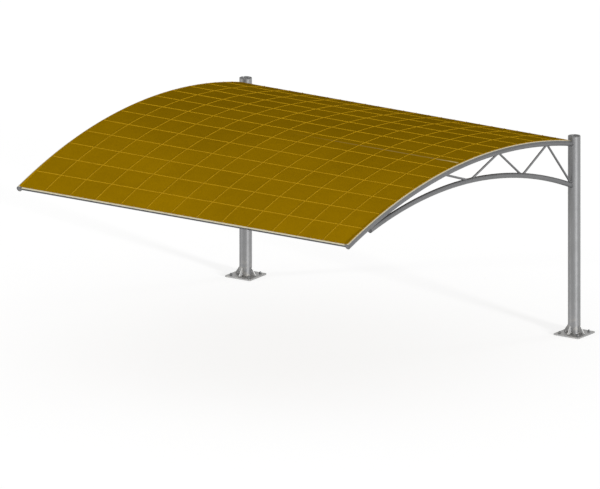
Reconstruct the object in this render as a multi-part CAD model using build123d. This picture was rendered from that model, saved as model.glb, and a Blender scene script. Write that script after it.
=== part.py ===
from build123d import *
import os
from math import asin, cos, degrees, radians, sin, sqrt

# Car park shade structure. Two round posts on bolted base plates each carry an arched
# cantilever truss of pipes, and a membrane spans between the trusses over three cross pipes.
# Frame: millimetres, +Z up, origin at the centre of the left base plate's underside,
# +X towards the right post, and the canopy reaches from the posts towards -Y.

# Layout
BAY = 5250.0  # between the axes of the two posts
REACH = 5400.0  # from the axes of the posts to the tips of the upper chords
POST_HEIGHT = 2725.0  # from the underside of the base plate to the top of the post
HEAD_DROP = 105.0  # from the top of the post down to the upper chord's axis
ROOT_DEPTH = 590.0  # between the chords' axes, measured at the post's axis
TIP_FALL = 200.0  # how far the upper chord's tip is below its root
UPPER_RADIUS = 9200.0  # of the upper chord's axis
LOWER_RADIUS = 7870.0  # of the lower chord's axis
LOWER_END_SHARE = 0.905  # of the reach, where the lower chord ends
LOWER_NOTCH = 12.5  # how deep the lower chord's end sits over the upper chord

# Pipes: outside diameters and walls
POST_OD = 168.3
POST_WALL = 7.1
UPPER_OD = 76.1
UPPER_WALL = 4.5
LOWER_OD = 70.0
LOWER_WALL = 4.0
WEB_OD = 30.0
WEB_WALL = 2.6
CROSS_OD = 48.3
CROSS_WALL = 3.2

# Web members: where their axes meet the chords, as shares of the reach
WEB_UPPER_SHARES = (0.120, 0.334, 0.572)
WEB_LOWER_SHARES = (0.0085, 0.230, 0.460)
WEB_SEAT_SHARE = 0.8  # of the web's diameter, its upper node above the upper chord's underside

# Cross pipes
TIP_MARGIN = 2.0  # the front edge pipe's surface behind the chords' end faces
MID_PURLIN_SHARE = 0.503  # of the reach
REAR_SETBACK = 160.0  # the rear edge pipe's axis in front of the posts' axes

# Membrane
MEMBRANE_THICKNESS = 4.0
MEMBRANE_LAP = 8.0  # past the axes of the pipes that carry its four edges

# Base plate and gussets
PLATE_SIDE = 400.0
PLATE_THICKNESS = 20.0
PLATE_CORNER = 10.0
HOLE_D = 28.0
HOLE_INSET = 60.0  # from the plate's edges to the holes' centres
GUSSET_LENGTH = 75.0
GUSSET_HEIGHT = 105.0
GUSSET_THICKNESS = 12.0
GUSSET_NOSE = 10.0  # blunt ends of the sloping edge
GUSSET_SNIPE = 14.0  # cut-off corner over the post's weld

# Caps and plugs
CAP_THICKNESS = 8.0
CAP_RECESS = 10.0
PLUG_THICKNESS = 6.0
PLUG_RECESS = 4.0

# Fits
WELD_GAP = 0.3  # between a coped end and the pipe that it meets
PLUG_GAP = 0.3  # round a cap or plug
MEMBRANE_GAP = 0.3  # between the membrane and the pipes under it


class Arch:
    """An arc in the truss plane that bulges upwards between two points."""

    def __init__(self, root, tip, radius):
        run = tip - root
        across = Vector(0, -run.Z, run.Y).normalized()
        self.radius = radius
        self.centre = (root + tip) * 0.5 + across * sqrt(radius**2 - (run.length / 2) ** 2)
        self.axis = Axis(self.centre, (1, 0, 0))

    def lean(self, forward):
        """Angle in degrees, forward of the vertical, at a distance in front of the posts."""
        return degrees(asin((forward + self.centre.Y) / self.radius))

    def section(self, lean, rise=0):
        """Plane across the arc, its Y away from the centre and its normal towards the tip."""
        outward = Vector(0, -sin(radians(lean)), cos(radians(lean)))
        along = Vector(0, -outward.Z, outward.Y)
        return Plane(self.centre + outward * (self.radius + rise), (1, 0, 0), along)

    def point(self, forward, rise=0):
        """Point on the arc, or off it by a rise, at a distance in front of the posts."""
        return self.section(self.lean(forward), rise).origin

    def sweep(self, profile, start, end, rise=0):
        """Solid made by a profile carried along the arc between two angles."""
        return revolve(self.section(start, rise) * profile, self.axis, end - start)


def ring(diameter, wall):
    """Cross-section of a pipe."""
    return Circle(diameter / 2) - Circle(diameter / 2 - wall)


def straight(profile, start, end):
    """A profile carried along the line between two points."""
    return extrude(Plane(start, z_dir=end - start) * profile, (end - start).length)


def plug(plane, bore, thickness, recess):
    """Disc in the open end of a pipe, whose end face is the plane."""
    disc = Circle(bore / 2 - PLUG_GAP)
    return extrude(plane.offset(-recess) * disc, -thickness)


# Axes of the two chords, in the plane of the left truss
root_height = POST_HEIGHT - HEAD_DROP
upper = Arch(Vector(0, 0, root_height), Vector(0, -REACH, root_height - TIP_FALL), UPPER_RADIUS)
upper_root = upper.lean(0)
upper_tip = upper.lean(REACH)

lower_drop = UPPER_OD / 2 + LOWER_OD / 2 - LOWER_NOTCH
lower_end = upper.point(REACH * LOWER_END_SHARE, -lower_drop)
lower = Arch(Vector(0, 0, root_height - ROOT_DEPTH), lower_end, LOWER_RADIUS)
lower_root = lower.lean(0)
lower_tip = lower.lean(-lower_end.Y)

# Room that each main pipe takes from the pieces coped onto it
post_room = extrude(Circle(POST_OD / 2 + WELD_GAP), POST_HEIGHT)
upper_room = upper.sweep(Circle(UPPER_OD / 2 + WELD_GAP), upper_root, upper_tip)
lower_room = lower.sweep(Circle(LOWER_OD / 2 + WELD_GAP), lower_root, lower_tip)


def post():
    pipe = extrude(ring(POST_OD, POST_WALL), POST_HEIGHT - PLATE_THICKNESS)
    return Pos(0, 0, PLATE_THICKNESS) * pipe


def post_cap():
    top = Plane((0, 0, POST_HEIGHT))
    return plug(top, POST_OD - 2 * POST_WALL, CAP_THICKNESS, CAP_RECESS)


def base_plate():
    spacing = PLATE_SIDE - 2 * HOLE_INSET
    outline = RectangleRounded(PLATE_SIDE, PLATE_SIDE, PLATE_CORNER)
    holes = GridLocations(spacing, spacing, 2, 2) * Circle(HOLE_D / 2)
    return extrude(outline - holes, PLATE_THICKNESS)


def gusset(turn):
    """Sniped plate that braces the post on its base plate, turned about the post."""
    outline = Polygon(
        (GUSSET_SNIPE, 0),
        (GUSSET_LENGTH, 0),
        (GUSSET_LENGTH, GUSSET_NOSE),
        (GUSSET_NOSE, GUSSET_HEIGHT),
        (0, GUSSET_HEIGHT),
        (0, GUSSET_SNIPE),
        align=None,
    )
    plate = extrude(Plane.XZ * outline, GUSSET_THICKNESS / 2, both=True)
    return Rot(0, 0, turn) * Pos(POST_OD / 2 + WELD_GAP, 0, PLATE_THICKNESS) * plate


def upper_chord():
    return upper.sweep(ring(UPPER_OD, UPPER_WALL), upper_root, upper_tip) - post_room


def lower_chord():
    """Coped to the post at its root and notched over the upper chord at its end."""
    pipe = lower.sweep(ring(LOWER_OD, LOWER_WALL), lower_root, lower_tip)
    return pipe - post_room - upper_room


def tip_plug():
    return plug(upper.section(upper_tip), UPPER_OD - 2 * UPPER_WALL, PLUG_THICKNESS, PLUG_RECESS)


def lower_plug():
    disc = plug(lower.section(lower_tip), LOWER_OD - 2 * LOWER_WALL, PLUG_THICKNESS, PLUG_RECESS)
    return disc - upper_room


def webs():
    """The zigzag between the chords, from the post forwards."""
    seat = WEB_OD * WEB_SEAT_SHARE - UPPER_OD / 2
    nodes = []
    for lower_share, upper_share in zip(WEB_LOWER_SHARES, WEB_UPPER_SHARES):
        nodes.append(lower.point(REACH * lower_share))
        nodes.append(upper.point(REACH * upper_share, seat))
    members = []
    for start, end in zip(nodes, nodes[1:]):
        member = straight(ring(WEB_OD, WEB_WALL), start, end)
        members.append(member - upper_room - lower_room - post_room)
    return members


def cross_pipe(lean, rise):
    """Pipe between the trusses, coped at both ends, its axis on the chords' axes or above them."""
    start = upper.section(lean, rise).origin
    pipe = straight(ring(CROSS_OD, CROSS_WALL), start, start + Vector(BAY, 0, 0))
    return pipe - upper_room - Pos(BAY, 0, 0) * upper_room


def membrane(rear, front):
    """Sheet over the chords and cross pipes, lapped past the pipes at its four edges."""
    lap = degrees(MEMBRANE_LAP / UPPER_RADIUS)
    sheet = Pos(BAY / 2, 0, 0) * Rectangle(BAY + 2 * MEMBRANE_LAP, MEMBRANE_THICKNESS)
    rise = UPPER_OD / 2 + MEMBRANE_GAP + MEMBRANE_THICKNESS / 2
    return upper.sweep(sheet, rear - lap, front + lap, rise)


# Every piece by its name
pieces = {}
web_members = webs()
for side, x, inward in (("left", 0, 0), ("right", BAY, 180)):
    frame = {
        "post": post(),
        "post_cap": post_cap(),
        "base_plate": base_plate(),
        "inner_gusset": gusset(inward),
        "rear_gusset": gusset(90),
        "outer_gusset": gusset(inward + 180),
        "front_gusset": gusset(-90),
        "upper_chord": upper_chord(),
        "tip_plug": tip_plug(),
        "lower_chord": lower_chord(),
        "lower_plug": lower_plug(),
    }
    for number, member in enumerate(web_members, start=1):
        frame[f"web_{number}"] = member
    for name, piece in frame.items():
        pieces[f"{side}_{name}"] = Pos(x, 0, 0) * piece

front_lean = upper_tip - degrees((CROSS_OD / 2 + TIP_MARGIN) / UPPER_RADIUS)
rear_lean = upper.lean(REAR_SETBACK)
flush_rise = UPPER_OD / 2 - CROSS_OD / 2
pieces["front_edge_pipe"] = cross_pipe(front_lean, 0)
pieces["mid_purlin"] = cross_pipe(upper.lean(REACH * MID_PURLIN_SHARE), flush_rise)
pieces["rear_edge_pipe"] = cross_pipe(rear_lean, flush_rise)
pieces["canopy_membrane"] = membrane(rear_lean, front_lean)

os.makedirs("parts", exist_ok=True)
for name, piece in pieces.items():
    export_step(piece, os.path.join("parts", f"{name}.step"))
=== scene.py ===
"""Looks of a car park shade structure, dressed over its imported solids."""

from math import atan2, cos, hypot, pi, radians, sin, sqrt

import bpy
from mathutils import Matrix, Vector


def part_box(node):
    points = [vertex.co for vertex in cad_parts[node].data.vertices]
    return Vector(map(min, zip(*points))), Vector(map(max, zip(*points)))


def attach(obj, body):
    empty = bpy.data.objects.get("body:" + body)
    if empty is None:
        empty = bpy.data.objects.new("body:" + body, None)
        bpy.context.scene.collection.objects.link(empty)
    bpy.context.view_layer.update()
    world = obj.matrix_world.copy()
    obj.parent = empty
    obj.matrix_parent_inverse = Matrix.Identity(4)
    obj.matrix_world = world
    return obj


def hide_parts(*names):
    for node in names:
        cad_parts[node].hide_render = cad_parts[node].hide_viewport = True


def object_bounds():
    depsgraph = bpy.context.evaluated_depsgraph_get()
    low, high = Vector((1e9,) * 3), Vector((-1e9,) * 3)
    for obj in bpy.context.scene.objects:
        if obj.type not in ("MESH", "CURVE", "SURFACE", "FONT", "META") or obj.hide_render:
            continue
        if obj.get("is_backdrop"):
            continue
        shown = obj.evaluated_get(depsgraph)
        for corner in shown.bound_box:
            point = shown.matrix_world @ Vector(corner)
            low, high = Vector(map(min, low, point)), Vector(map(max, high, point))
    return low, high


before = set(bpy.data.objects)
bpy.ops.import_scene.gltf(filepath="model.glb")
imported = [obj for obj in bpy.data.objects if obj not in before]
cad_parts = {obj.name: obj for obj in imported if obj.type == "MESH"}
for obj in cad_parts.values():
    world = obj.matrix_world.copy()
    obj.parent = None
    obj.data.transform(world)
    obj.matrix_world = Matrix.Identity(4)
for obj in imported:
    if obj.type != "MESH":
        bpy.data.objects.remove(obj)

bl_info = {
    "name": "Car park shade structure",
    "version": (1, 0, 0),
    "blender": (4, 5, 0),
    "location": "3D View > Sidebar > Shade",
    "description": "Paint, membrane, welds, anchors and stage of a car park shade structure",
    "category": "Object",
}

CAD_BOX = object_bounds()
SIDES = ("left", "right")
WEBS = ("web_1", "web_2", "web_3", "web_4", "web_5")
GUSSETS = ("inner_gusset", "rear_gusset", "outer_gusset", "front_gusset")
CROSS_PIPES = ("front_edge_pipe", "mid_purlin", "rear_edge_pipe")
PLUGS = ("tip_plug", "lower_plug")

X_AXIS = Vector((1, 0, 0))
Y_AXIS = Vector((0, 1, 0))
Z_AXIS = Vector((0, 0, 1))
HAIR = 0.00001  # two surfaces this close touch
RIM_POINTS = 48  # of a weld line round a pipe


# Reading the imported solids

def points_of(node):
    """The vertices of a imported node."""
    return [vertex.co.copy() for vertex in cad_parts[node].data.vertices]


def once_round():
    """Angles of the points round a rim."""
    return [2 * pi * number / RIM_POINTS for number in range(RIM_POINTS)]


class Arch:
    """A circle in the truss plane, through three points of a bent pipe or sheet."""

    def __init__(self, first, second, third):
        ab = second - first
        ac = third - first
        twice = 2 * (ab.y * ac.z - ab.z * ac.y)
        ab_square = ab.y**2 + ab.z**2
        ac_square = ac.y**2 + ac.z**2
        y = (ac.z * ab_square - ab.z * ac_square) / twice
        z = (ab.y * ac_square - ac.y * ab_square) / twice
        self.centre = Vector((0, first.y + y, first.z + z))
        self.radius = hypot(y, z)

    def lean(self, point):
        """Angle forward of the vertical at which a point lies."""
        return atan2(self.centre.y - point.y, point.z - self.centre.z)

    def off_centre(self, point):
        """Distance of a point from the centre, in the truss plane."""
        return hypot(point.y - self.centre.y, point.z - self.centre.z)

    def place(self, x, lean, rise=0):
        """Point at an angle on the arc, or off it by a rise."""
        reach = self.radius + rise
        return Vector((x, self.centre.y - reach * sin(lean), self.centre.z + reach * cos(lean)))


class BentPipe:
    """A chord, read from the vertices along its inner side."""

    def __init__(self, node):
        low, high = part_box(node)
        line = [point for point in points_of(node) if point.x > high.x - HAIR]
        line.sort(key=lambda point: point.y)
        self.arch = Arch(line[0], line[len(line) // 2], line[-1])
        self.radius = (high.x - low.x) / 2
        self.x = high.x - self.radius
        self.tip_lean = self.arch.lean(line[0])
        self.root_lean = self.arch.lean(line[-1])

    def skin(self, lean, turn):
        """Point on the pipe's surface, turned about its axis from the top."""
        side = self.x + self.radius * sin(turn)
        return self.arch.place(side, lean, self.radius * cos(turn))

    def gap(self, point):
        """Distance of a point from the pipe's surface."""
        off_arc = self.arch.off_centre(point) - self.arch.radius
        return hypot(off_arc, point.x - self.x) - self.radius


class Post:
    """An upright round post."""

    def __init__(self, node):
        low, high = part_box(node)
        self.middle = (low + high) / 2
        self.radius = (high.x - low.x) / 2
        self.foot = low.z

    def gap(self, point):
        """Distance of a point from the post's surface."""
        return hypot(point.x - self.middle.x, point.y - self.middle.y) - self.radius


class StraightPipe:
    """A web member or cross pipe, read from its vertices and its longest face."""

    def __init__(self, node, along=None):
        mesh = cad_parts[node].data
        longest = max(mesh.polygons, key=lambda face: face.area)
        self.along = along or X_AXIS.cross(longest.normal).normalized()
        self.across = self.along.orthogonal().normalized()
        self.beside = self.along.cross(self.across)
        points = points_of(node)
        self.middle = Vector()
        spreads = []
        for way in (self.along, self.across, self.beside):
            reach = [point.dot(way) for point in points]
            self.middle += way * (min(reach) + max(reach)) / 2
            spreads.append(max(reach) - min(reach))
        self.radius = max(spreads[1:]) / 2

    def rim(self, way, others):
        """Where the pipe's surface meets the other pieces, at the end that a way points to."""
        line = []
        for turn in once_round():
            out = self.across * cos(turn) + self.beside * sin(turn)
            line.append(run_into(self.middle + out * self.radius, way, others))
        return line


def run_into(start, way, others):
    """Goes from a start along a way until it meets one of the other pieces."""
    point = start.copy()
    gap = min(other.gap(point) for other in others)
    while gap > HAIR:
        point += way * gap
        gap = min(other.gap(point) for other in others)
    return point


TRUSS = {
    side: {
        "post": Post(f"{side}_post"),
        "upper": BentPipe(f"{side}_upper_chord"),
        "lower": BentPipe(f"{side}_lower_chord"),
        "webs": [StraightPipe(f"{side}_{web}") for web in WEBS],
    }
    for side in SIDES
}
CROSS = {name: StraightPipe(name, X_AXIS) for name in CROSS_PIPES}

FRONT_TRIM = 0.001  # the cloth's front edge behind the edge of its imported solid
SIDE_TRIM = 0.008  # the cloth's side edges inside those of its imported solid
CLOTH_GAP = 0.0003  # between the cloth and the front pipe
DROP_REACH = 1.8  # from the front edge back to where the cloth is on the arc again


class Canopy:
    """The surface that the membrane lies on, from its rear edge to its front edge."""

    def __init__(self, node):
        points = points_of(node)
        front = min(points, key=lambda point: point.y)
        rear = max(points, key=lambda point: point.y)
        crown = max(points, key=lambda point: point.z)
        low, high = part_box(node)
        self.left = low.x + SIDE_TRIM
        self.right = high.x - SIDE_TRIM
        self.width = self.right - self.left
        self.arch = Arch(rear, crown, front)
        self.front_lean = self.arch.lean(front) - FRONT_TRIM / self.arch.radius
        self.length = (self.front_lean - self.arch.lean(rear)) * self.arch.radius
        self.support_leans = sorted(self.arch.lean(pipe.middle) for pipe in CROSS.values())
        inner = min(self.arch.off_centre(point) for point in points)
        self.seat = inner - self.arch.radius
        self.chord_radius = TRUSS["left"]["upper"].radius
        self.first_axis = TRUSS["left"]["upper"].x
        self.bay = TRUSS["right"]["upper"].x - self.first_axis
        pipe = CROSS["front_edge_pipe"]
        self.drop = inner - (self.arch.off_centre(pipe.middle) + pipe.radius) - CLOTH_GAP

    def lean_at(self, distance):
        """Angle on the arc at a distance along the cloth from its front edge."""
        return self.front_lean - distance / self.arch.radius

    def droop(self, x, lean, sag):
        """How far the cloth is below the arc, down to the front pipe and between the pipes."""
        from_front = (self.front_lean - lean) * self.arch.radius
        lowered = self.drop * max(0, 1 - from_front / DROP_REACH) ** 2
        from_axis = min(x - self.first_axis, self.first_axis + self.bay - x)
        if from_axis < self.chord_radius:
            shoulder = sqrt(self.chord_radius**2 - from_axis**2)
            lowered = min(lowered, self.chord_radius - shoulder)
        across = sin(pi * min(max((x - self.left) / self.width, 0), 1))
        for rear, front in zip(self.support_leans, self.support_leans[1:]):
            if rear < lean < front:
                return lowered + sag * across * sin(pi * (lean - rear) / (front - rear)) ** 2
        return lowered

    def place(self, x, distance, rise, sag):
        """Point above the sheet's seat at a distance along the cloth from its front edge."""
        lean = self.lean_at(distance)
        return self.arch.place(x, lean, self.seat + rise - self.droop(x, lean, sag))


CANOPY = Canopy("canopy_membrane")


# Settings that a user would change

def setting(kind, **limits):
    """A maker of settings of one kind, within its limits."""
    def make(name, description, default):
        return kind(name=name, description=description, default=default, **limits)
    return make


length = setting(bpy.props.FloatProperty, min=0, unit="LENGTH", precision=4)
count = setting(bpy.props.IntProperty, min=1)
colour = setting(bpy.props.FloatVectorProperty, size=3, min=0, max=1, subtype="COLOR")
share = setting(bpy.props.FloatProperty, min=0, max=1, subtype="FACTOR")
angle = setting(bpy.props.FloatProperty, unit="ROTATION")
strength = setting(bpy.props.FloatProperty, min=0)


class ShadeSteelSettings(bpy.types.PropertyGroup):
    """Paint and weld beads of the steel frame."""

    paint: colour("Post paint", "Silver grey coat on the posts", (0.226, 0.227, 0.230))
    plate: colour("Plate paint", "Paler coat on the base plates and gussets", (0.325, 0.325, 0.325))
    truss: colour("Truss paint", "Darker grey coat on the trusses and cross pipes", (0.155, 0.156, 0.159))
    # Painted shade: dark colour of the front pipe below its painted highlight
    shade_side: colour("Front pipe paint", "Dark coat below the front pipe's top", (0.09, 0.091, 0.094))
    # Painted shade: dark colour of the caps set down in the posts' tops
    cap: colour("Post caps", "Dark primer on the caps in the posts' tops", (0.115, 0.116, 0.118))
    plug: colour("Plugs", "Lighter primer on the plugs in the chords' ends", (0.22, 0.221, 0.223))
    # Painted highlight: pale colour laid on the tops of the pipes
    chalk: colour("Chalking", "Paint bleached by the sun on the pipes' tops", (0.59, 0.545, 0.39))
    # Painted highlight on the gussets' sloping edges and tops
    gusset_highlight: colour("Worn edges", "Bare bright edges of the gussets", (0.68, 0.68, 0.67))
    dust: colour("Dust", "Dust that settles on the steel", (0.36, 0.34, 0.30))
    bead: length("Web bead", "Radius of the weld beads round the web members", 0.0035)
    main_bead: length("Main bead", "Radius of the weld beads at posts, chords and plates", 0.005)
    ripple_pitch: length("Ripple pitch", "Distance between the ripples of a bead", 0.0075)
    ripple: share("Ripple height", "Share of a bead's radius that its ripples rise", 0.10)


class ShadeFabricSettings(bpy.types.PropertyGroup):
    """Membrane with its seams and hem."""

    panels_across: count("Panels across", "Panels between the two trusses", 13)
    panels_along: count("Panels along", "Panels from the front edge to the rear edge", 13)
    thickness: length("Cloth thickness", "Thickness of the coated cloth", 0.0025)
    sag: length("Sag", "How far the cloth hangs between the pipes in the middle of a bay", 0.009)
    tape_width: length("Tape width", "Width of the seam tapes", 0.020)
    tape_thickness: length("Tape thickness", "Thickness of the seam tapes", 0.0009)
    row_ridge: length("Row ridge", "Height of the corded seams across the sheet", 0.006)
    column_ridge: length("Column ridge", "Height of the seams from front to rear", 0.003)
    hem_width: length("Hem width", "Width of the doubled hem", 0.024)
    screw_pitch: length("Screw pitch", "Distance between the hem's screws", 0.202)
    cloth: colour("Cloth", "Ochre of the coated cloth", (0.328, 0.182, 0.0008))
    tape: colour("Tape", "Lighter ochre of the seam tapes", (0.407, 0.233, 0.006))
    thread: colour("Thread", "Pale ochre of the seam thread", (0.62, 0.37, 0.02))
    # Pale line over the middle purlin: rub wear and a painted highlight
    rub_and_highlight: colour("Rubbed cloth", "Backing that shows where the cloth is rubbed", (0.98, 0.82, 0.36))


class ShadeAnchorSettings(bpy.types.PropertyGroup):
    """Anchor studs, nuts and washers on the base plates."""

    spacing: length("Hole spacing", "Distance between the holes along a base plate's side", 0.280)
    stud: length("Stud", "Diameter of the anchor stud's thread", 0.020)
    pitch: length("Thread pitch", "Pitch of the anchor stud's thread", 0.0025)
    stick_out: length("Stick-out", "Height of the stud above its nut", 0.010)
    nut_width: length("Nut width", "Across the flats of the nut", 0.030)
    nut_height: length("Nut height", "Height of the nut", 0.016)
    washer: length("Washer", "Outside diameter of the washer", 0.040)
    washer_thickness: length("Washer thickness", "Thickness of the washer", 0.003)
    zinc: colour("Zinc", "Dull zinc coat of the anchors", (0.16, 0.163, 0.167))


class ShadeStageSettings(bpy.types.PropertyGroup):
    """Floor, light and camera."""

    azimuth: angle("Azimuth", "Camera's turn to the right of straight ahead", radians(33.85))
    elevation: angle("Elevation", "Camera's angle above the horizon", radians(15.28))
    view_width: length("View width", "Width of what the camera shows", 7.963)
    key_azimuth: angle("Key azimuth", "Key light's turn to the right of straight ahead", radians(72))
    key_elevation: angle("Key elevation", "Key light's angle above the horizon", radians(8))
    key: strength("Key light", "Strength of the low key light from the right", 3.18)
    key_spread: angle("Key spread", "Width of the key light in the sky", radians(8))
    fill_azimuth: angle("Fill azimuth", "Fill light's turn to the right of straight ahead", radians(-44))
    fill_elevation: angle("Fill elevation", "Fill light's angle above the horizon", radians(8))
    fill: strength("Fill light", "Strength of the low fill light from the left", 1.52)
    fill_spread: angle("Fill spread", "Width of the fill light in the sky", radians(12))
    back_azimuth: angle("Back azimuth", "Back light's turn to the right of straight ahead", radians(150))
    back_elevation: angle("Back elevation", "Back light's angle above the horizon", radians(12))
    back: strength("Back light", "Strength of the light from behind, which shows in no gloss", 0.56)
    back_spread: angle("Back spread", "Width of the back light in the sky", radians(20))
    sky: strength("Sky light", "Strength of the light from all round", 0.40)
    floor: colour("Floor", "Pale floor", (0.45, 0.45, 0.45))
    floor_glow: share("Floor glow", "White that the view adds to the floor", 0.72)


class ShadeSettings(bpy.types.PropertyGroup):
    """All settings of the shade structure."""

    steel: bpy.props.PointerProperty(type=ShadeSteelSettings)
    fabric: bpy.props.PointerProperty(type=ShadeFabricSettings)
    anchors: bpy.props.PointerProperty(type=ShadeAnchorSettings)
    stage: bpy.props.PointerProperty(type=ShadeStageSettings)


# Shader nodes

NODE_STEP = 190  # between neighbouring nodes in the shader editor
VECTORS = "ShaderNodeVectorMath"
COLOUR = "NodeSocketColor"
VALUE = "NodeSocketFloat"
PLACE = "NodeSocketVector"
MIX_INPUTS = (0, 6, 7)  # factor and two colours of a mix node
MIX_OUTPUT = 2  # its mixed colour
NOISE_SPAN = (0.3, 0.7)  # where most values of a noise lie
WHITE = (1, 1, 1)


def fill(tree, node, inputs):
    """Links a node's inputs to their sources, or sets them as constants."""
    for name, value in inputs.items():
        socket = node.inputs[name]
        if isinstance(value, bpy.types.NodeSocket):
            tree.links.new(value, socket)
        elif socket.type == "RGBA":
            socket.default_value = (*value, 1)
        else:
            socket.default_value = value


def lay(tree, kind, inputs=None, **settings):
    """Adds a node to a tree, with its settings, values and links."""
    node = tree.nodes.new(kind)
    node.location = (NODE_STEP * len(tree.nodes), 0)
    for name, value in settings.items():
        setattr(node, name, value)
    fill(tree, node, inputs or {})
    return node


def maths(tree, operation, *values, kind="ShaderNodeMath"):
    """Result of a maths node on its values."""
    return lay(tree, kind, dict(enumerate(values)), operation=operation).outputs[0]


def times(tree, product, *values):
    """Product of several values."""
    for value in values:
        product = maths(tree, "MULTIPLY", product, value)
    return product


def scaled(tree, triple, value):
    """A colour or a place times a value."""
    return lay(tree, VECTORS, {0: triple, "Scale": value}, operation="SCALE").outputs[0]


def stretched(tree, place, scale):
    """A place drawn out by its own scale each way."""
    return lay(tree, "ShaderNodeMapping", {"Vector": place, "Scale": scale}).outputs[0]


def split(tree, place):
    """The X, Y and Z of a place or a normal."""
    return lay(tree, "ShaderNodeSeparateXYZ", {0: place}).outputs


def coordinates(tree, kind):
    """Places on a piece, on its Object or UV coordinates."""
    return lay(tree, "ShaderNodeTexCoord").outputs[kind]


def ramp(tree, value, low, high, to_low=0.0, to_high=1.0):
    """A value carried smoothly from one range to another."""
    inputs = {"Value": value, "From Min": low, "From Max": high, "To Min": to_low, "To Max": to_high}
    return lay(tree, "ShaderNodeMapRange", inputs, interpolation_type="SMOOTHSTEP").outputs["Result"]


def noise(tree, place, scale, detail):
    """Soft random values over a place."""
    inputs = {"Vector": place, "Scale": scale, "Detail": detail}
    return lay(tree, "ShaderNodeTexNoise", inputs).outputs["Fac"]


def blotches(tree, place, scale, detail, low, high, span=NOISE_SPAN):
    """Soft random values over a place, brought between a low and a high one."""
    return ramp(tree, noise(tree, place, scale, detail), *span, low, high)


def mixed(tree, factor, first, second):
    """One colour laid over another."""
    inputs = dict(zip(MIX_INPUTS, (factor, first, second)))
    return lay(tree, "ShaderNodeMix", inputs, data_type="RGBA").outputs[MIX_OUTPUT]


def new_group(name, inputs, outputs):
    """An empty shader node group with its sockets, and what it is given."""
    tree = bpy.data.node_groups.new(name, "ShaderNodeTree")
    for way, sockets in (("INPUT", inputs), ("OUTPUT", outputs)):
        for socket, kind in sockets.items():
            tree.interface.new_socket(socket, in_out=way, socket_type=kind)
    return tree, lay(tree, "NodeGroupInput").outputs


STREAKS = (26, 26, 1.6)  # scale of the rain streaks, drawn out downwards
SHADE_TOWARDS_POSTS = (-0.75, -0.25)  # shares of the cloth's length, from the tips to the posts, over which the painted shade grows
SETTLING = (0.45, 1.0)  # upward shares between which dust settles
SPLASH_HEIGHTS = (0.03, 0.42)  # between which the ground's splash runs out
HIGHLIGHT_WANDER = 0.025  # of the painted highlight's edge, as an upward share
DUST_ROUGHNESS = 0.35  # that full dust adds


def weathering_group():
    """Tone, rain streaks, settled dust and ground splash on a painted surface, with painted shade on
    up-facing flanks and a painted highlight on its tops.
    """
    tree, given = new_group(
        "Weathering",
        {
            **dict.fromkeys(("Colour", "Dust Colour", "Chalk Colour"), COLOUR),
            **dict.fromkeys(("Tone", "Dust", "Chalk From", "Chalk To"), VALUE),
            **dict.fromkeys(("Grime", "Grime From", "Grime To"), VALUE),
        },
        {"Colour": COLOUR, "Roughness": VALUE, "Height": VALUE},
    )
    place = coordinates(tree, "Object")
    spot = split(tree, place)
    upward = split(tree, lay(tree, "ShaderNodeNewGeometry").outputs["Normal"])["Z"]

    broad = blotches(tree, place, scale=2.3, detail=3, low=-1, high=1)
    downwards = stretched(tree, place, STREAKS)
    streak = blotches(tree, downwards, scale=1, detail=4, low=-1, high=0.6, span=(0.35, 0.7))
    tone = times(tree, maths(tree, "ADD", broad, streak), given["Tone"])
    shade_towards_posts = ramp(tree, spot["Y"], *[CANOPY.length * part for part in SHADE_TOWARDS_POSTS])
    # Painted shade: darker where the surface faces partly up, more so towards the posts
    facing = ramp(tree, upward, given["Grime From"], given["Grime To"])
    tone = maths(tree, "SUBTRACT", tone, times(tree, facing, shade_towards_posts, given["Grime"]))
    painted = scaled(tree, given["Colour"], maths(tree, "ADD", tone, 1))

    speckle = blotches(tree, place, scale=38, detail=5, low=0, high=1, span=(0.3, 0.75))
    on_top = times(tree, ramp(tree, upward, *SETTLING), speckle)
    drops = blotches(tree, place, scale=16, detail=6, low=0, high=1, span=(0.44, 0.7))
    splash = times(tree, ramp(tree, spot["Z"], *SPLASH_HEIGHTS, 1, 0), drops)
    dusty = times(tree, maths(tree, "MAXIMUM", on_top, splash), given["Dust"])

    # Painted highlight: the paint turns paler where the surface faces up
    either_way = {"low": -HIGHLIGHT_WANDER, "high": HIGHLIGHT_WANDER, "span": (0.25, 0.75)}
    wander = blotches(tree, place, scale=30, detail=6, **either_way)
    paled = ramp(tree, maths(tree, "ADD", upward, wander), given["Chalk From"], given["Chalk To"])
    patchy = blotches(tree, place, scale=11, detail=4, low=0.8, high=1, span=(0.25, 0.5))
    highlighted = mixed(tree, times(tree, paled, patchy), painted, given["Chalk Colour"])

    gloss = blotches(tree, place, scale=9, detail=4, low=0.36, high=0.44)
    rough = maths(tree, "ADD", gloss, times(tree, dusty, DUST_ROUGHNESS))
    inputs = {"Roughness": rough, "Height": noise(tree, place, scale=420, detail=2)}
    inputs["Colour"] = mixed(tree, dusty, highlighted, given["Dust Colour"])
    lay(tree, "NodeGroupOutput", inputs)
    return tree


def weave_group():
    """Plain weave of threads, from a place on the cloth in metres."""
    puts_out = dict.fromkeys(("Height", "Shade"), VALUE)
    tree, given = new_group("Weave", {"Place": PLACE, "Threads": VALUE}, puts_out)
    thread = split(tree, scaled(tree, given["Place"], given["Threads"]))
    warp = maths(tree, "SINE", times(tree, thread["X"], pi))
    weft = maths(tree, "SINE", times(tree, thread["Y"], pi))
    slubs = blotches(tree, given["Place"], scale=55, detail=2, low=0.97, high=1.03)
    lay(tree, "NodeGroupOutput", {"Height": times(tree, warp, weft), "Shade": slubs})
    return tree


STITCH_SHARE = 0.68  # of the stitches' pitch that is thread


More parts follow.
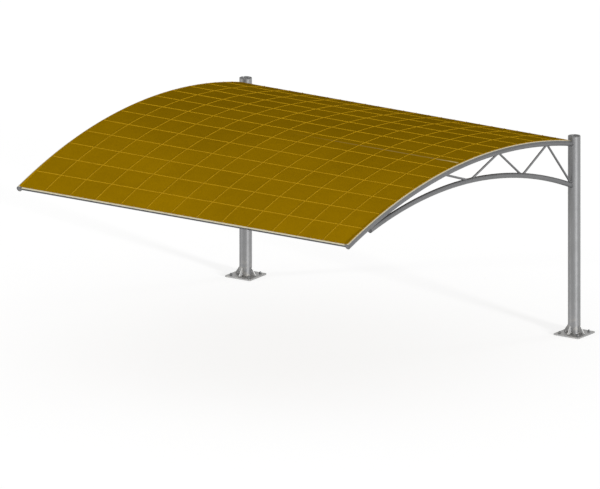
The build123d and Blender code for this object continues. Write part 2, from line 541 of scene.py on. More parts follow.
def stitch_group():
    """Two rows of stitches along a strip, from its share across and its metres along."""
    given_names = ("Across", "Along", "Inset", "Pitch", "Width")
    tree, given = new_group("Stitching", dict.fromkeys(given_names, VALUE), {"Mask": VALUE})
    from_edge = maths(tree, "PINGPONG", given["Across"], 0.5)
    off_line = maths(tree, "ABSOLUTE", maths(tree, "SUBTRACT", from_edge, given["Inset"]))
    on_line = maths(tree, "LESS_THAN", off_line, given["Width"])
    step = maths(tree, "FRACT", maths(tree, "DIVIDE", given["Along"], given["Pitch"]))
    thread = maths(tree, "LESS_THAN", step, STITCH_SHARE)
    lay(tree, "NodeGroupOutput", {"Mask": times(tree, on_line, thread)})
    return tree


def use(tree, name, inputs):
    """Outputs of a shared node group, which is made when it is first needed."""
    makers = {"Weathering": weathering_group, "Weave": weave_group, "Stitching": stitch_group}
    group = bpy.data.node_groups.get(name) or makers[name]()
    return lay(tree, "ShaderNodeGroup", inputs, node_tree=group).outputs


def new_material(name):
    """A node material with its Principled shader."""
    material = bpy.data.materials.new(name)
    material.use_nodes = True
    tree = material.node_tree
    return material, tree, tree.nodes["Principled BSDF"]


def bump(tree, height, depth, distance):
    """Normal of a surface that has a height on it."""
    inputs = {"Height": height, "Strength": depth, "Distance": distance}
    return lay(tree, "ShaderNodeBump", inputs).outputs["Normal"]


PAINT_TONE = 0.035  # share by which the paint's tone varies
PAINT_PEEL = 0.0004  # height of the paint's orange peel
METALLIC = {"gloss": 0.5, "metal": 0.65}  # silver flakes in the paint
NO_HIGHLIGHT = (1.5, 2.0)  # no painted highlight: beyond any surface's upward share
NO_PAINTED_SHADE = (0.0, 0.3, 0.6)  # no painted shade: share that it darkens, from and to an upward share


def steel_material(
    name, steel, base, dust, gloss=0.2, metal=0.0, chalk=NO_HIGHLIGHT, pale=None, grime=NO_PAINTED_SHADE
):
    """Weathered paint or zinc on steel, with a painted highlight or painted shade where it faces up by
    more than a share.
    """
    material, tree, shader = new_material(name)
    given = {
        "Colour": base,
        "Dust Colour": steel.dust,
        "Chalk Colour": pale or steel.chalk,
        "Tone": PAINT_TONE,
        "Dust": dust,
    }
    given["Chalk From"], given["Chalk To"] = chalk
    given["Grime"], given["Grime From"], given["Grime To"] = grime
    out = use(tree, "Weathering", given)
    finish = {
        "Base Color": out["Colour"],
        "Roughness": out["Roughness"],
        "Metallic": metal,
        "Specular IOR Level": gloss,
        "Normal": bump(tree, out["Height"], depth=0.12, distance=PAINT_PEEL),
    }
    fill(tree, shader, finish)
    return material


CLOTH_THREADS = 420  # to a metre
TAPE_THREADS = 500
THREAD_BUMP = 0.0006  # height of the threads
DYE_LOTS = (0.97, 1.03)  # tones of the darkest and the palest panel
DARKENING = (0.1, 0.85)  # shares of the cloth's length, from the front, between which painted shade darkens it
REAR_TONE = 0.81
SCUFFS = (9, 60, 1)  # scale of the scuffs over the purlin, drawn out across the cloth
RUB_AND_HIGHLIGHT_REACH = (0.008, 0.022)  # distances from the purlin's line between which the rub and painted highlight fade
RUB_AND_HIGHLIGHT_WANDER = 0.006  # of the edges of the rub and painted highlight
FAINT_RUB_AND_HIGHLIGHT = (0.45, 0.82, 0.14)  # from and to a share of the width, and how strong it is there
STRONG_RUB_AND_HIGHLIGHT = (0.90, 1.0, 0.42)


def cloth_material(name, fabric):
    """Coated cloth, faded in patches, with painted shade towards the rear and a pale line over the middle
    purlin that is rub wear and a painted highlight.
    """
    material, tree, shader = new_material(name)
    place = stretched(tree, coordinates(tree, "UV"), (CANOPY.width, CANOPY.length, 1))
    spot = split(tree, place)
    weave = use(tree, "Weave", {"Place": place, "Threads": CLOTH_THREADS})
    fade = blotches(tree, place, scale=0.7, detail=4, low=0.95, high=1.05)
    mottle = blotches(tree, place, scale=6, detail=5, low=0.975, high=1.025)
    panels = (fabric.panels_across / CANOPY.bay, fabric.panels_along / CANOPY.length, 1)
    inner = maths(tree, "ADD", place, (CANOPY.left - CANOPY.first_axis, 0, 0), kind=VECTORS)
    panel = maths(tree, "FLOOR", maths(tree, "MULTIPLY", inner, panels, kind=VECTORS), kind=VECTORS)
    dye = lay(tree, "ShaderNodeTexWhiteNoise", {"Vector": panel}, noise_dimensions="2D").outputs["Value"]
    lot = ramp(tree, dye, 0, 1, *DYE_LOTS)
    # Painted shade: the cloth darker towards the rear
    grime = ramp(tree, spot["Y"], *[CANOPY.length * part for part in DARKENING], 1, REAR_TONE)
    dyed = scaled(tree, tuple(fabric.cloth), times(tree, fade, mottle, lot, weave["Shade"], grime))

    # Rub wear and painted highlight: a pale line over the middle purlin, strongest near the right chord
    purlin = (CANOPY.front_lean - CANOPY.support_leans[1]) * CANOPY.arch.radius
    scuffs = noise(tree, stretched(tree, place, SCUFFS), scale=1, detail=5)
    from_purlin = maths(tree, "ABSOLUTE", maths(tree, "SUBTRACT", spot["Y"], purlin))
    wander = ramp(tree, scuffs, 0.25, 0.75, -RUB_AND_HIGHLIGHT_WANDER, RUB_AND_HIGHLIGHT_WANDER)
    rub_and_highlight_line = ramp(tree, maths(tree, "ADD", from_purlin, wander), *RUB_AND_HIGHLIGHT_REACH, 1, 0)
    growing = []
    for start, end, most in (FAINT_RUB_AND_HIGHLIGHT, STRONG_RUB_AND_HIGHLIGHT):
        growing.append(ramp(tree, spot["X"], CANOPY.width * start, CANOPY.width * end, 0, most))
    hem_edge = CANOPY.width - fabric.hem_width
    under_hem = ramp(tree, spot["X"], hem_edge - fabric.hem_width / 4, hem_edge, 1, 0)
    patchy = ramp(tree, scuffs, 0.3, 0.5, to_low=0.75)
    rub_and_highlight = times(tree, rub_and_highlight_line, maths(tree, "ADD", *growing), under_hem, patchy)
    finish = {
        "Base Color": mixed(tree, rub_and_highlight, dyed, fabric.rub_and_highlight),
        "Roughness": blotches(tree, place, scale=14, detail=3, low=0.72, high=0.84),
        "Specular IOR Level": 0.0,
        "Normal": bump(tree, weave["Height"], depth=0.18, distance=THREAD_BUMP),
    }
    fill(tree, shader, finish)
    return material


BLEACHING = (-0.75, -0.2)  # shares of the cloth's length between which the strips bleach
STITCH_PITCH = 0.006
STITCH_WIDTH = 0.03  # share of a strip's width
STITCH_RISE = 1.6  # of the stitches, in heights of the weave


def strip_material(name, base, thread, inset, bleach):
    """Sewn strip of coated cloth with two rows of stitches, bleached towards the rear."""
    material, tree, shader = new_material(name)
    flat = split(tree, coordinates(tree, "UV"))
    sewing = {"Inset": inset, "Pitch": STITCH_PITCH, "Width": STITCH_WIDTH, "Across": flat["X"]}
    sewing["Along"] = times(tree, flat["Y"], CANOPY.length)
    stitch = use(tree, "Stitching", sewing)["Mask"]
    place = coordinates(tree, "Object")
    weave = use(tree, "Weave", {"Place": place, "Threads": TAPE_THREADS})
    soiled = blotches(tree, place, scale=5, detail=5, low=1.04, high=0.92, span=(0.3, 0.75))
    rearward = split(tree, place)["Y"]
    paled = ramp(tree, rearward, *[CANOPY.length * part for part in BLEACHING], 1, bleach)
    dyed = scaled(tree, tuple(base), times(tree, soiled, weave["Shade"], paled))
    raised = maths(tree, "ADD", times(tree, stitch, STITCH_RISE), weave["Height"])
    finish = {
        "Base Color": mixed(tree, stitch, dyed, thread),
        "Roughness": blotches(tree, place, scale=20, detail=3, low=0.7, high=0.85),
        "Specular IOR Level": 0.0,
        "Normal": bump(tree, raised, depth=0.25, distance=THREAD_BUMP),
    }
    fill(tree, shader, finish)
    return material


# Modelling steps

def only(*pieces):
    """Selects these pieces and nothing else, the first one active."""
    bpy.ops.object.select_all(action="DESELECT")
    for piece in pieces:
        piece.select_set(True)
    bpy.context.view_layer.objects.active = pieces[0]


def added(name):
    """The object that an operator has just added, under its own name."""
    piece = bpy.context.active_object
    piece.name = name
    piece.data.name = name
    return piece


def settled(name):
    """The object that an operator has just added, with its place moved into its mesh."""
    piece = added(name)
    only(piece)
    bpy.ops.object.transform_apply(location=True, rotation=True, scale=True)
    return piece


def apply_modifier(piece, kind, **settings):
    """Adds a modifier to a piece and applies it."""
    only(piece)
    modifier = piece.modifiers.new(kind.title(), kind)
    for name, value in settings.items():
        setattr(modifier, name, value)
    bpy.ops.object.modifier_apply(modifier=modifier.name)


def joined(name, pieces):
    """Joins pieces into one under a new name."""
    only(*pieces)
    bpy.ops.object.join()
    return added(name)


def finished(piece, material, smooth=40):
    """Shades a piece, gives it its material and puts it on the fixed frame."""
    only(piece)
    bpy.ops.object.shade_smooth_by_angle(angle=radians(smooth))
    piece.data.materials.clear()
    piece.data.materials.append(material)
    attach(piece, "root")


def close_up(piece):
    """Sews a piece's touching edges, fills its three-sided holes and turns its faces outwards."""
    only(piece)
    bpy.ops.object.mode_set(mode="EDIT")
    bpy.ops.mesh.select_all(action="SELECT")
    bpy.ops.mesh.remove_doubles(threshold=HAIR)
    bpy.ops.mesh.fill_holes(sides=3)
    bpy.ops.mesh.normals_make_consistent(inside=False)
    bpy.ops.object.mode_set(mode="OBJECT")


def raise_top(piece, inset, rise):
    """Insets a piece's top face and lifts it, for a chamfered or domed end."""
    only(piece)
    top = max(vertex.co.z for vertex in piece.data.vertices)
    bpy.ops.object.mode_set(mode="EDIT")
    bpy.ops.mesh.select_mode(type="FACE")
    bpy.ops.mesh.select_all(action="DESELECT")
    bpy.ops.object.mode_set(mode="OBJECT")
    for face in piece.data.polygons:
        face.select = face.center.z > top - HAIR
    bpy.ops.object.mode_set(mode="EDIT")
    bpy.ops.mesh.inset(thickness=inset)
    bpy.ops.transform.translate(value=(0, 0, rise))
    bpy.ops.object.mode_set(mode="OBJECT")


def cylinder(name, radius, foot, height, sides):
    """An upright cylinder on the Z axis, from its foot up."""
    bpy.ops.object.select_all(action="DESELECT")
    middle = (0, 0, foot + height / 2)
    bpy.ops.mesh.primitive_cylinder_add(vertices=sides, radius=radius, depth=height, location=middle)
    return settled(name)


def copies(name, model, places):
    """One piece made of copies of a model, each moved to its place."""
    made = []
    for place in places:
        copy = model.copy()
        copy.data = model.data.copy()
        copy.data.transform(place)
        bpy.context.scene.collection.objects.link(copy)
        made.append(copy)
    bpy.data.objects.remove(model)
    return joined(name, made)


ACROSS = 130  # faces of the cloth from side to side
ALONG = 104  # faces of the cloth from front to rear
EDGE_FACES = 12  # of the faces across, packed close along each side
EDGE_WIDTH = 0.072  # that those faces cover


def packed(part):
    """Share of the cloth's width at a share of its faces."""
    face = part * ACROSS
    edge = EDGE_WIDTH / CANOPY.width
    if face < EDGE_FACES:
        return edge * face / EDGE_FACES
    if face > ACROSS - EDGE_FACES:
        return 1 - edge * (ACROSS - face) / EDGE_FACES
    return edge + (1 - 2 * edge) * (face - EDGE_FACES) / (ACROSS - 2 * EDGE_FACES)


def laid_grid(name, across, along, place):
    """A grid laid where a function of its two shares says, face up."""
    bpy.ops.object.select_all(action="DESELECT")
    bpy.ops.mesh.primitive_grid_add(x_subdivisions=across, y_subdivisions=along, size=1)
    piece = added(name)
    ways = [way for way, faces in enumerate((across, along)) if faces == ACROSS]
    for vertex in piece.data.vertices:
        shares = [vertex.co.x + 0.5, vertex.co.y + 0.5]
        for way in ways:
            shares[way] = packed(shares[way])
        vertex.co = place(*shares)
    for corner in piece.data.uv_layers.active.data:
        for way in ways:
            corner.uv[way] = packed(corner.uv[way])
    return piece


# Weld lines

BEAD_RESOLUTION = 1  # few sides, because the beads are thin
BEAD_STEPS = 3  # points to a ripple
FEWEST_STEPS = 3  # of a short line
BEAD_SMOOTH = 60  # degrees
ROOT_START = 0.02  # radians in front of a chord's root, where it is clear of its post
NOTCH_STATIONS = 60
NOTCH_REACH = 0.12  # radians back from the lower chord's end, further than its notch is long
HALVINGS = 30  # that close in on a point of the notch
SNIPE = 0.016  # from the corner of post and plate to where a gusset's beads start


def drawn(name, lines):
    """Round mesh tubes along lines of points, each with its sizes."""
    curve = bpy.data.curves.new(name, "CURVE")
    curve.dimensions = "3D"
    curve.bevel_depth = 1
    curve.bevel_resolution = BEAD_RESOLUTION
    curve.use_fill_caps = True
    for points, sizes, closed in lines:
        spline = curve.splines.new("POLY")
        spline.points.add(len(points) - 1)
        spline.use_cyclic_u = closed
        for target, point, size in zip(spline.points, points, sizes):
            target.co = (*point, 1)
            target.radius = size
    piece = bpy.data.objects.new(name, curve)
    bpy.context.scene.collection.objects.link(piece)
    only(piece)
    bpy.ops.object.convert(target="MESH")
    piece = added(name)
    close_up(piece)
    return piece


def evenly(points, pitch, closed):
    """Points at an even pitch along a line."""
    line = [*points, points[0]] if closed else list(points)
    spans = [(after - before).length for before, after in zip(line, line[1:])]
    number = max(FEWEST_STEPS, round(sum(spans) / pitch))
    step = sum(spans) / number
    found = []
    span = 0
    passed = 0
    for index in range(number if closed else number + 1):
        goal = index * step
        while span < len(spans) - 1 and passed + spans[span] < goal:
            passed += spans[span]
            span += 1
        part = min((goal - passed) / max(spans[span], HAIR), 1)
        found.append(line[span].lerp(line[span + 1], part))
    return found


def bead(points, size, steel, closed=True):
    """Line and sizes of a rippled weld bead."""
    line = evenly(points, steel.ripple_pitch / BEAD_STEPS, closed)
    turns = [2 * pi * number / BEAD_STEPS for number in range(len(line))]
    return line, [size * (1 + steel.ripple * sin(turn)) for turn in turns], closed


def root_rim(chord, post):
    """Where a chord's surface meets its post."""
    line = []
    for turn in once_round():
        lean = chord.root_lean + ROOT_START
        gap = post.gap(chord.skin(lean, turn))
        while gap > HAIR:
            lean -= gap / (chord.arch.radius + chord.radius)
            gap = post.gap(chord.skin(lean, turn))
        line.append(chord.skin(lean, turn))
    return line


def notch_rim(lower, upper):
    """Long open line on which the lower chord's end lies against the upper chord."""
    right = []
    for number in range(NOTCH_STATIONS):
        lean = lower.tip_lean - NOTCH_REACH * number / NOTCH_STATIONS
        if upper.gap(lower.skin(lean, 0)) > 0:
            break
        inside = 0
        outside = pi / 2
        for _ in range(HALVINGS):
            turn = (inside + outside) / 2
            if upper.gap(lower.skin(lean, turn)) > 0:
                outside = turn
            else:
                inside = turn
        right.append(lower.skin(lean, outside))
    left = [Vector((2 * lower.x - point.x, point.y, point.z)) for point in right]
    return left + right[::-1]


def gusset_lines(node, post):
    """Weld lines along the two faces of a gusset, on the post and on the base plate."""
    low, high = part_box(node)
    away = (low + high) / 2 - post.middle
    out = max((X_AXIS, -X_AXIS, Y_AXIS, -Y_AXIS), key=away.dot)
    beside = Z_AXIS.cross(out)
    half = abs((high - low).dot(beside)) / 2
    far = max(abs((corner - post.middle).dot(out)) for corner in (low, high))
    lines = []
    for edge in (-half, half):
        face = Vector((post.middle.x, post.middle.y, 0)) + beside * edge
        near = sqrt(post.radius**2 - edge**2)
        lines.append([face + out * near + Z_AXIS * height for height in (low.z + SNIPE, high.z)])
        lines.append([face + out * off + Z_AXIS * low.z for off in (post.radius + SNIPE, far)])
    return lines


def ground_flush(point, size):
    """Sinks a point of a weld line until its bead is below the tops of the upper chords."""
    chord = TRUSS["left"]["upper"]
    out = Vector((0, point.y, point.z)) - chord.arch.centre
    top = chord.arch.radius + chord.radius
    return point - out.normalized() * max(0, out.length + size - top)


def ring_line(middle, radius, height):
    """Level circle of points."""
    outs = [Vector((cos(turn), sin(turn), 0)) for turn in once_round()]
    return [Vector((middle.x, middle.y, height)) + out * radius for out in outs]


# Operators

class ShadeOperator:
    """What all operators here share."""

    bl_options = {"REGISTER", "UNDO"}


def coat(node, material):
    """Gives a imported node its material."""
    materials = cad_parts[node].data.materials
    materials.clear()
    materials.append(material)


class SHADE_OT_steel(ShadeOperator, bpy.types.Operator):
    """Paint the pipes and plates of the frame with painted highlights and painted shade, darken the post
    caps as painted shade and prime the plugs
    """

    bl_idname = "shade.steel"
    bl_label = "Paint the steel"

    def execute(self, context):
        steel = context.scene.shade.steel

        def paint(name, base, dust=0.0, **finish):
            return steel_material(name, steel, base, dust, **finish)

        # Trusses: painted shade on the upper flanks of the pipes, stronger towards the posts
        truss = paint("truss_paint", steel.truss, grime=(0.34, 0.3, 0.6), **METALLIC)
        # Chords: painted highlight on their tops, painted shade on their upper flanks
        painted_light_and_shade = {"chalk": (0.76, 0.90), "grime": (0.26, 0.0, 0.4)}
        coats = {
            ("post",): paint("silver_paint", steel.paint, dust=0.45, **METALLIC),
            # Post caps: dark painted shade in the recessed tops
            ("post_cap",): paint("cap_primer", steel.cap, dust=0.2),
            ("base_plate",): paint("plate_paint", steel.plate, dust=0.3, **METALLIC),
            ("upper_chord",): paint("chord_paint", steel.truss, **painted_light_and_shade, **METALLIC),
            ("lower_chord",): truss,
            # Webs: painted highlight, their tops turned to the posts' paler grey
            WEBS: paint("web_paint", steel.truss, chalk=(0.1, 0.5), pale=steel.paint, **METALLIC),
            PLUGS: paint("plug_primer", steel.plug, dust=0.2),
            # Gussets: painted highlight on their sloping edges and tops
            GUSSETS: paint("gusset_paint", steel.plate, dust=0.3, chalk=(0.42, 0.52), pale=steel.gusset_highlight),
        }
        for side in SIDES:
            for parts, material in coats.items():
                for part in parts:
                    coat(f"{side}_{part}", material)
        # Front pipe: painted shade in its dark colour, painted highlight on its upper half
        coat("front_edge_pipe", paint("front_pipe_paint", steel.shade_side, chalk=(0.05, 0.3)))
        coat("mid_purlin", truss)
        coat("rear_edge_pipe", truss)
        return {"FINISHED"}


class SHADE_OT_welds(ShadeOperator, bpy.types.Operator):
    """Run weld beads round the coped pipe ends, the gussets and the feet of the posts"""

    bl_idname = "shade.welds"
    bl_label = "Weld the frame"

    def execute(self, context):
        steel = context.scene.shade.steel

        def weld(name, lines, paint):
            finished(drawn(name, lines), bpy.data.materials[paint], BEAD_SMOOTH)

        for side in SIDES:
            truss = TRUSS[side]
            post, upper, lower = truss["post"], truss["upper"], truss["lower"]
            lines = []
            for web in truss["webs"]:
                for way in (web.along, -web.along):
                    lines.append(bead(web.rim(way, (post, upper, lower)), steel.bead, steel))
            lines.append(bead(root_rim(upper, post), steel.main_bead, steel))
            lines.append(bead(root_rim(lower, post), steel.main_bead, steel))
            lines.append(bead(notch_rim(lower, upper), steel.main_bead, steel, closed=False))
            weld(f"{side}_truss_welds", lines, "truss_paint")

            cap_low, cap_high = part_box(f"{side}_post_cap")
            foot = ring_line(post.middle, post.radius, post.foot)
            seal = ring_line(post.middle, (cap_high.x - cap_low.x) / 2, cap_high.z)
            lines = [bead(foot, steel.main_bead, steel), bead(seal, steel.bead, steel)]
            for gusset in GUSSETS:
                for line in gusset_lines(f"{side}_{gusset}", post):
                    lines.append(bead(line, steel.main_bead, steel, closed=False))
            weld(f"{side}_post_welds", lines, "silver_paint")

        chords = [TRUSS[side]["upper"] for side in SIDES]
        widest = steel.bead * (1 + steel.ripple)
        lines = []
        for pipe in CROSS.values():
            for way in (X_AXIS, -X_AXIS):
                rim = [ground_flush(point, widest) for point in pipe.rim(way, chords)]
                lines.append(bead(rim, steel.bead, steel))
        weld("cross_pipe_welds", lines, "truss_paint")
        return {"FINISHED"}


class SHADE_OT_membrane(ShadeOperator, bpy.types.Operator):
    """Stretch the coated cloth over the chords and cross pipes"""

    bl_idname = "shade.membrane"
    bl_label = "Stretch the membrane"

    def execute(self, context):
        fabric = context.scene.shade.fabric

        def place(across, along):
            x = CANOPY.left + CANOPY.width * across
            return CANOPY.place(x, CANOPY.length * along, fabric.thickness, fabric.sag)

        sheet = laid_grid("canopy_sheet", ACROSS, ALONG, place)
        apply_modifier(sheet, "SOLIDIFY", thickness=fabric.thickness, offset=-1, use_even_offset=True)
        finished(sheet, cloth_material("ochre_cloth", fabric))
        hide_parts("canopy_membrane")
        return {"FINISHED"}


TAPE_SHORT = 0.002  # from a tape's ends to the edges of the cloth
TAPE_FACES = 6  # across a tape, for its ridge
TAPE_BLEACH = 1.18  # of the tapes at the rear
TAPE_INSET = 0.2  # share of the width from an edge to its stitches
RIDGE_END = 0.04  # over which a tape's ridge runs out flat at its ends
HEM_SHORT = 0.0005  # from a hem's ends to the edges of the cloth
HEM_FACES = 4
HEM_INSET = 0.12
HEM_FOLD = 2.6  # thickness of the hems from front to rear, in tapes
HEM_LAP = 1.15  # of that, for the hems across, which lap over the others


class SHADE_OT_seams(ShadeOperator, bpy.types.Operator):
    """Sew the tapes over the seams between the panels, and the hem round the edges"""

    bl_idname = "shade.seams"
    bl_label = "Sew the seams and hem"

    def execute(self, context):
        fabric = context.scene.shade.fabric

        def strip(middle, wide, lengthwise, proud, short, faces, ridge=0):
            full = CANOPY.length if lengthwise else CANOPY.width

            def place(across, along):
                off = middle + (across - 0.5) * wide
                run = short + (full - 2 * short) * along
                from_end = min(along, 1 - along) * full
                crest = ridge * (1 - (2 * across - 1) ** 2) * min(1, from_end / RIDGE_END)
                x, distance = (CANOPY.left + off, run) if lengthwise else (CANOPY.right - run, off)
                return CANOPY.place(x, distance, fabric.thickness + crest, fabric.sag)

            piece = laid_grid("strip", faces, ALONG if lengthwise else ACROSS, place)
            apply_modifier(piece, "SOLIDIFY", thickness=proud, offset=1, use_even_offset=True)
            return piece

        def tape(middle, lengthwise, ridge):
            proud = fabric.tape_thickness
            return strip(middle, fabric.tape_width, lengthwise, proud, TAPE_SHORT, TAPE_FACES, ridge)

        def hem(middle, lengthwise):
            proud = fabric.tape_thickness * HEM_FOLD * (1 if lengthwise else HEM_LAP)
            return strip(middle, fabric.hem_width, lengthwise, proud, HEM_SHORT, HEM_FACES)

        tapes = []
        for number in range(1, fabric.panels_across):
            middle = CANOPY.first_axis - CANOPY.left + CANOPY.bay * number / fabric.panels_across
            tapes.append(tape(middle, True, fabric.column_ridge))
        for number in range(1, fabric.panels_along):
            middle = CANOPY.length * number / fabric.panels_along
            tapes.append(tape(middle, False, fabric.row_ridge))
        sewn = strip_material("seam_tape", fabric.tape, fabric.thread, TAPE_INSET, TAPE_BLEACH)
        finished(joined("seam_tapes", tapes), sewn)

        half = fabric.hem_width / 2
        hems = [hem(half, True), hem(CANOPY.width - half, True)]
        hems += [hem(half, False), hem(CANOPY.length - half, False)]
        folded = strip_material("hem_cloth", fabric.cloth, fabric.tape, HEM_INSET, bleach=1)
        finished(joined("canopy_hem", hems), folded)
        return {"FINISHED"}


SCREW_WASHER = 0.008  # radius
SCREW_WASHER_THICKNESS = 0.0014
SCREW_HEAD = 0.0046  # radius to the corners
SCREW_HEAD_HEIGHT = 0.004
SCREW_DOME = 0.0006  # rise of the head's top
SCREW_DOME_INSET = 0.0012


def screw_head():
    """A hex screw head on its washer, standing on the origin."""
    washer = cylinder("screw_washer", SCREW_WASHER, 0, SCREW_WASHER_THICKNESS, sides=12)
    head = cylinder("screw_hex", SCREW_HEAD, SCREW_WASHER_THICKNESS, SCREW_HEAD_HEIGHT, sides=6)
    raise_top(head, SCREW_DOME_INSET, SCREW_DOME)
    return joined("hem_screws", [washer, head])


class SHADE_OT_hem_screws(ShadeOperator, bpy.types.Operator):
    """Screw the hem down to the pipes under the four edges"""

    bl_idname = "shade.hem_screws"
    bl_label = "Screw down the hem"

    def execute(self, context):
        settings = context.scene.shade
        fabric = settings.fabric
        inset = fabric.hem_width / 2
        proud = fabric.thickness + fabric.tape_thickness * HEM_FOLD * HEM_LAP
        spots = []
        rows = round(CANOPY.length / fabric.screw_pitch)
        for number in range(1, rows):
            for x in (CANOPY.left + inset, CANOPY.right - inset):
                spots.append((x, CANOPY.length * number / rows))
        columns = round(CANOPY.width / fabric.screw_pitch)
        for number in range(1, columns):
            for distance in (inset, CANOPY.length - inset):
                spots.append((CANOPY.left + CANOPY.width * number / columns, distance))
        places = []
        for x, distance in spots:
            lean = CANOPY.lean_at(distance)
            upright = Vector((0, -sin(lean), cos(lean))).to_track_quat("Z", "Y").to_matrix().to_4x4()
            places.append(Matrix.Translation(CANOPY.place(x, distance, proud, fabric.sag)) @ upright)
        paint = steel_material("ochre_screw_paint", settings.steel, fabric.cloth, dust=0.2)
        finished(copies("hem_screws", screw_head(), places), paint, smooth=30)
        return {"FINISHED"}


THREAD_DEPTH = 0.61  # of the thread's pitch
THREAD_SEAT = 0.4  # of the thread's depth, its middle outside the stud's core
THREAD_STEPS = 20  # to a turn, as many as the stud has sides
STUD_CHAMFER = 0.15  # of the core's radius
WASHER_CHAMFER = 0.2  # of the washer's thickness
WASHER_RISE = 0.0002  # from the washer's edge to its top
NUT_BEVEL = 0.0016
NUT_TURNS = (8, -14, 25, 3)  # degrees, as each nut came tight


def anchor_set(anchors):
    """Threaded stud, nut and washer on a base plate's top, the stud's axis on Z."""
    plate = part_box("left_base_plate")[1].z
    nut_foot = plate + anchors.washer_thickness
    nut_top = nut_foot + anchors.nut_height
    depth = anchors.pitch * THREAD_DEPTH
    core = anchors.stud / 2 - depth

    washer = cylinder("anchor_washer", anchors.washer / 2, plate, anchors.washer_thickness, sides=32)
    raise_top(washer, anchors.washer_thickness * WASHER_CHAMFER, WASHER_RISE)
    nut = cylinder("anchor_nut", anchors.nut_width / sqrt(3), nut_foot, anchors.nut_height, sides=6)
    corners = {"limit_method": "ANGLE", "angle_limit": radians(50)}
    apply_modifier(nut, "BEVEL", width=NUT_BEVEL, segments=2, **corners)
    stud = cylinder("anchor_stud", core, 0, nut_top + anchors.stick_out, sides=THREAD_STEPS)
    raise_top(stud, core * STUD_CHAMFER, depth / 2)

    bpy.ops.object.select_all(action="DESELECT")
    start = (core + depth * THREAD_SEAT, 0, nut_top - anchors.pitch)
    upright = (pi / 2, pi / 2, 0)
    bpy.ops.mesh.primitive_circle_add(vertices=3, radius=depth, location=start, rotation=upright)
    thread = settled("anchor_thread")
    apply_modifier(
        thread, "SCREW", angle=2 * pi, screw_offset=anchors.pitch, steps=THREAD_STEPS,
        render_steps=THREAD_STEPS, iterations=int(anchors.stick_out / anchors.pitch),
        use_merge_vertices=True, merge_threshold=HAIR,
    )
    close_up(thread)
    return joined("anchor_set", [washer, nut, stud, thread])


class SHADE_OT_anchors(ShadeOperator, bpy.types.Operator):
    """Bolt the base plates down with studs, nuts and washers"""

    bl_idname = "shade.anchors"
    bl_label = "Set the anchors"

    def execute(self, context):
        settings = context.scene.shade
        anchors = settings.anchors
        zinc = steel_material("zinc_coat", settings.steel, anchors.zinc, dust=0.2, metal=0.3)
        half = anchors.spacing / 2
        corners = ((-half, -half), (half, -half), (half, half), (-half, half))
        for side in SIDES:
            middle = TRUSS[side]["post"].middle
            places = []
            for (x, y), turn in zip(corners, NUT_TURNS):
                spot = Matrix.Translation((middle.x + x, middle.y + y, 0))
                places.append(spot @ Matrix.Rotation(radians(turn), 4, "Z"))
            finished(copies(f"{side}_anchors", anchor_set(anchors), places), zinc, smooth=35)
        return {"FINISHED"}


# Stage

PHOTO_SIZE = (600, 489)  # pixels
ORIGIN_PIXEL = (245.68, 275.79)  # of the left base plate's middle, on its underside
CAMERA_BACK = 30.0  # metres from the middle of the view
FLOOR_SIDE = 160.0
FLOOR_GAP = 0.0005  # from the floor up to the base plates
FLOOR_ROUGHNESS = 0.9


def toward(azimuth, elevation):
    """Way from the object to a viewer or a lamp."""
    level = cos(elevation)
    return Vector((sin(azimuth) * level, -cos(azimuth) * level, sin(elevation)))


def white_ray(tree):
    """Is 1 for rays that show the background, seen directly, in gloss or through glass."""
    path = lay(tree, "ShaderNodeLightPath").outputs
    seen = maths(tree, "MAXIMUM", path["Is Camera Ray"], path["Is Glossy Ray"])
    return maths(tree, "MAXIMUM", seen, path["Is Transmission Ray"])


def show(tree, output, factor, first, second):
    """Puts out a mix of two shaders."""
    mix = lay(tree, "ShaderNodeMixShader", {0: factor, 1: first.outputs[0], 2: second.outputs[0]})
    fill(tree, tree.nodes[output], {"Surface": mix.outputs[0]})


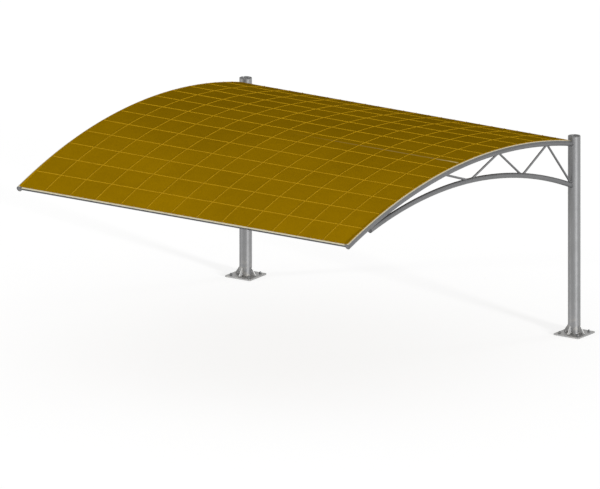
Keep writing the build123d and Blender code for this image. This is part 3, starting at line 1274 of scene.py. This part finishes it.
class SHADE_OT_stage(ShadeOperator, bpy.types.Operator):
    """Lay the pale floor and set the light and the camera"""

    bl_idname = "shade.stage"
    bl_label = "Set the stage"

    def execute(self, context):
        stage = context.scene.shade.stage
        scene = context.scene
        scene.view_settings.view_transform = "Standard"
        self.lay_floor(stage)
        self.light(scene, stage)
        self.aim(scene, stage)
        return {"FINISHED"}

    def lay_floor(self, stage):
        bpy.ops.object.select_all(action="DESELECT")
        bpy.ops.mesh.primitive_plane_add(size=FLOOR_SIDE, location=(0, 0, -FLOOR_GAP))
        floor = settled("floor")
        material, tree, shader = new_material("pale_floor")
        finish = {
            "Base Color": stage.floor,
            "Roughness": FLOOR_ROUGHNESS,
            "Specular IOR Level": 0.0,
            "Emission Color": WHITE,
            "Emission Strength": times(tree, white_ray(tree), stage.floor_glow),
        }
        fill(tree, shader, finish)
        below = lay(tree, "ShaderNodeNewGeometry").outputs["Backfacing"]
        show(tree, "Material Output", below, shader, lay(tree, "ShaderNodeBsdfTransparent"))
        floor.data.materials.append(material)
        floor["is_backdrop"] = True

    def light(self, scene, stage):
        world = bpy.data.worlds.new("studio")
        world.use_nodes = True
        tree = world.node_tree
        sky = tree.nodes["Background"]
        fill(tree, sky, {"Color": WHITE, "Strength": stage.sky})
        white = lay(tree, "ShaderNodeBackground", {"Color": WHITE, "Strength": 1})
        show(tree, "World Output", white_ray(tree), sky, white)
        scene.world = world
        for name in ("key", "fill", "back"):
            bpy.ops.object.select_all(action="DESELECT")
            way = toward(getattr(stage, f"{name}_azimuth"), getattr(stage, f"{name}_elevation"))
            bpy.ops.object.light_add(type="SUN", location=way * CAMERA_BACK)
            lamp = added(f"{name}_light")
            lamp.data.energy = getattr(stage, name)
            lamp.data.angle = getattr(stage, f"{name}_spread")
            lamp.visible_glossy = name != "back"
            lamp.rotation_euler = way.to_track_quat("Z", "Y").to_euler()

    def aim(self, scene, stage):
        back = toward(stage.azimuth, stage.elevation)
        right = Vector((cos(stage.azimuth), sin(stage.azimuth), 0))
        up = back.cross(right)
        metre = PHOTO_SIZE[0] / stage.view_width
        middle = right * (PHOTO_SIZE[0] / 2 - ORIGIN_PIXEL[0]) / metre
        middle += up * (ORIGIN_PIXEL[1] - PHOTO_SIZE[1] / 2) / metre
        bpy.ops.object.camera_add(location=middle + back * CAMERA_BACK)
        camera = added("camera")
        camera.rotation_euler = back.to_track_quat("Z", "Y").to_euler()
        camera.data.type = "ORTHO"
        camera.data.ortho_scale = stage.view_width
        camera.data.clip_end = 4 * CAMERA_BACK
        scene.camera = camera


class SHADE_PT_panel(bpy.types.Panel):
    """Pieces and settings of the shade structure"""

    bl_idname = "SHADE_PT_panel"
    bl_label = "Car park shade"
    bl_space_type = "VIEW_3D"
    bl_region_type = "UI"
    bl_category = "Shade"

    def draw(self, context):
        settings = context.scene.shade
        for name in ("steel", "fabric", "anchors", "stage"):
            box = self.layout.box()
            part = getattr(settings, name)
            for prop in part.bl_rna.properties:
                if prop.identifier not in ("rna_type", "name"):
                    box.prop(part, prop.identifier)
        for operator in OPERATORS:
            self.layout.operator(operator.bl_idname)


OPERATORS = (
    SHADE_OT_steel,
    SHADE_OT_welds,
    SHADE_OT_membrane,
    SHADE_OT_seams,
    SHADE_OT_hem_screws,
    SHADE_OT_anchors,
    SHADE_OT_stage,
)
CLASSES = (
    ShadeSteelSettings,
    ShadeFabricSettings,
    ShadeAnchorSettings,
    ShadeStageSettings,
    ShadeSettings,
    *OPERATORS,
    SHADE_PT_panel,
)


def register():
    for each in CLASSES:
        bpy.utils.register_class(each)
    bpy.types.Scene.shade = bpy.props.PointerProperty(type=ShadeSettings)


def unregister():
    del bpy.types.Scene.shade
    for each in reversed(CLASSES):
        bpy.utils.unregister_class(each)


def main():
    register()
    bpy.ops.shade.steel()
    bpy.ops.shade.welds()
    bpy.ops.shade.membrane()
    bpy.ops.shade.seams()
    bpy.ops.shade.hem_screws()
    bpy.ops.shade.anchors()
    bpy.ops.shade.stage()
    boxes = {"cad": CAD_BOX, "visual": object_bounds()}
    plain = {name: [list(corner) for corner in box] for name, box in boxes.items()}


if __name__ == "__main__":
    main()
